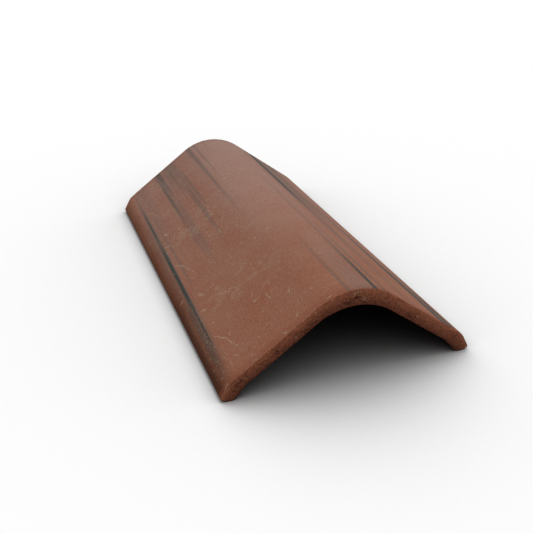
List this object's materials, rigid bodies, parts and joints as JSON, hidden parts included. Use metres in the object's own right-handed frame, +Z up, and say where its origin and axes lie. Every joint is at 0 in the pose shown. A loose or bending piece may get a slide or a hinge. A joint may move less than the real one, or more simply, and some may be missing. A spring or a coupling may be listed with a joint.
{
  "type": "ridge tile",
  "caption": "Concrete angle ridge tile with a rounded crown, two flat legs and turned-down lips, laid over a roof's ridge to cap its top courses.",
  "frame": {"origin": "on the floor under the middle of the tile: half way along its length, on its plane of symmetry, at the level of the two heels that it stands on", "axes": "+Y along the ridge, +Z up through the crown, +X across the tile towards one lip"},
  "size_m": [0.2472, 0.45, 0.0889],
  "materials": {
    "streaked_concrete": "through-coloured red-brown concrete, smooth on top with dark streaks along the ridge, torn and gritty on the cut ends"
  },
  "bodies": {
    "root": {"ridge_tile": "streaked_concrete"}
  },
  "joints": []
}
